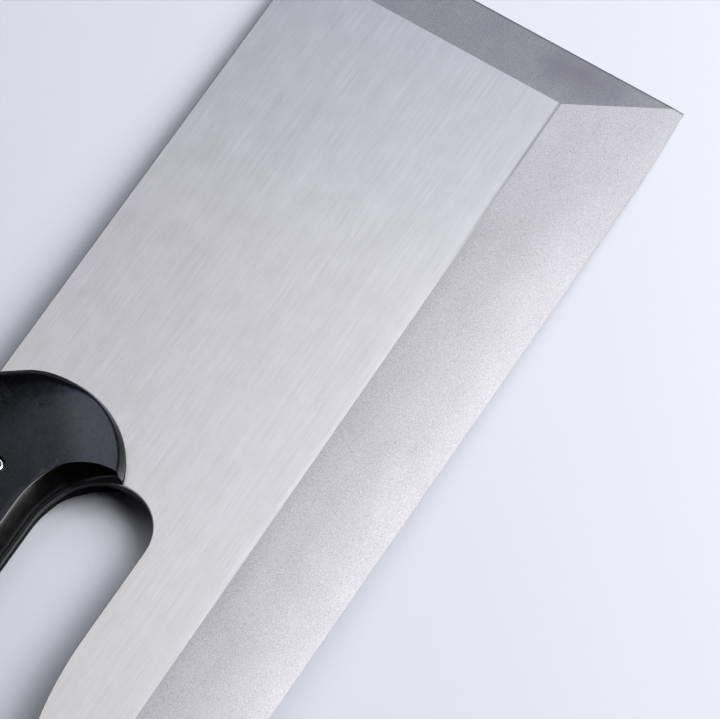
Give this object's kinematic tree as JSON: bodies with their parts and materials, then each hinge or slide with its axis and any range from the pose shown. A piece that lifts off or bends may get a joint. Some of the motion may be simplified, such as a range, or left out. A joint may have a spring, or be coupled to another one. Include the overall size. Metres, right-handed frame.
{
  "type": "soba knife",
  "caption": "Wide, single-bevelled blade for cutting noodles, with its grip set back over the blade behind a finger gap, and riveted handle scales.",
  "frame": {"origin": "centre of the whole knife's footprint, at the level of the left scale's outer face that the knife lies on", "axes": "+X from heel to tip along the blade, +Y from cutting edge to spine, +Z out of the bevelled right face"},
  "size_m": [0.312, 0.13, 0.0206],
  "materials": {
    "satin_blade_steel": "satin ground flat with fine lengthwise lines, bead-blasted bevels, not polished",
    "black_laminated_wood": "black resin-impregnated laminate, smooth satin",
    "bright_rivet_steel": "bright rolled tube"
  },
  "bodies": {
    "root": {"blade": "satin_blade_steel", "right_scale": "black_laminated_wood", "left_scale": "black_laminated_wood", "front_rivet": "bright_rivet_steel", "middle_rivet": "bright_rivet_steel", "rear_rivet": "bright_rivet_steel"}
  },
  "joints": []
}
